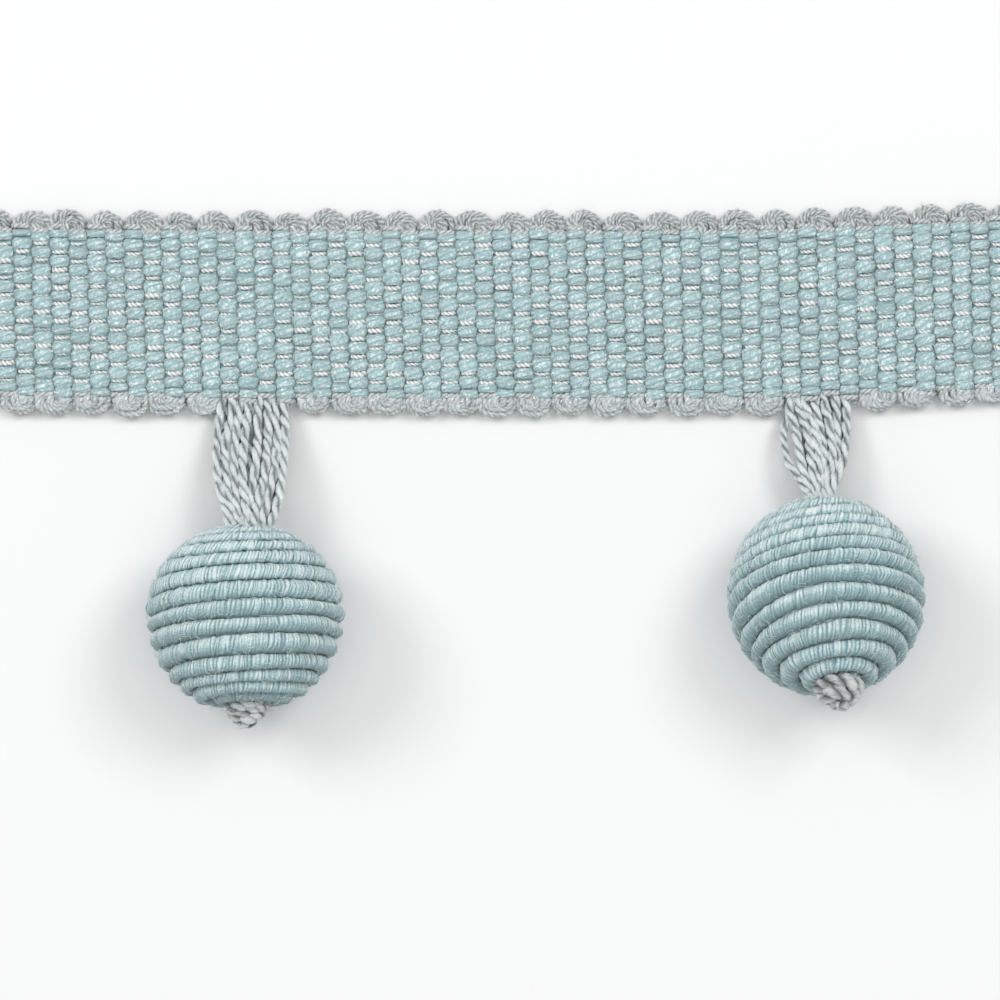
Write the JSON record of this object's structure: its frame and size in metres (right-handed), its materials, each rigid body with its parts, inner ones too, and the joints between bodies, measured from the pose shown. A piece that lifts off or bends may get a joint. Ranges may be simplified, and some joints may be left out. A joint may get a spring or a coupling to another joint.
{
  "type": "beaded fringe trim",
  "caption": "Cut length of ribbed woven tape with picot loops along both edges and round gimp-wound beads hanging from knotted strand bundles.",
  "frame": {"origin": "middle of the tape's flat back, halfway along it and halfway between its picot edges", "axes": "+X along the tape, +Y towards the edge without beads so that the beads hang towards -Y, +Z out of the trim's face"},
  "size_m": [0.1094, 0.051, 0.0185],
  "materials": {
    "tape_warp": "matte duck-egg blue yarn with silvery twisted ends",
    "edge_yarn": "two-ply silvery grey yarn with a soft sheen",
    "bead_gimp": "cord wrapped with fine shiny grey-blue thread"
  },
  "bodies": {
    "root": {"heading": "tape_warp", "upper_loops": "edge_yarn", "lower_loops": "edge_yarn", "hanger_left": "edge_yarn", "hanger_right": "edge_yarn", "bead_left": "bead_gimp", "bead_right": "bead_gimp", "knot_left": "edge_yarn", "knot_right": "edge_yarn"}
  },
  "joints": []
}
